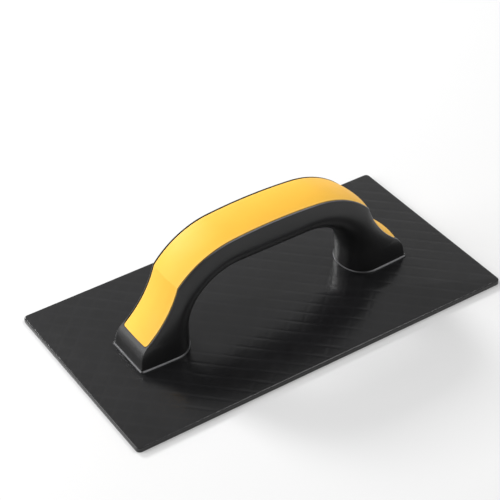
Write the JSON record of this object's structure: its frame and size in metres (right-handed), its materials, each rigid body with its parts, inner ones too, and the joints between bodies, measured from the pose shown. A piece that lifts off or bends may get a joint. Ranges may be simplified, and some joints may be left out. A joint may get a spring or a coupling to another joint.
{
  "type": "plastering float",
  "caption": "Hand float with a flat plate, a waffle working face underneath and a bridge handle with a coloured strip let into its top.",
  "frame": {"origin": "middle of the working face, on the plane that the ridge tops and the rim lie in", "axes": "+X along the plate's length, +Y across it, +Z from the working face towards the handle"},
  "size_m": [0.28, 0.148, 0.0793],
  "materials": {
    "plate_black": "smooth moulded plastic with a soft sheen, slightly blotchy over the waffle",
    "handle_black": "fine-grained moulded plastic",
    "strip_yellow": "smooth satin plastic, coloured through",
    "screw_zinc": "zinc plated"
  },
  "bodies": {
    "root": {"base_plate": "plate_black", "handle_body": "handle_black", "grip_cover": "strip_yellow", "handle_screws": "screw_zinc"}
  },
  "joints": []
}
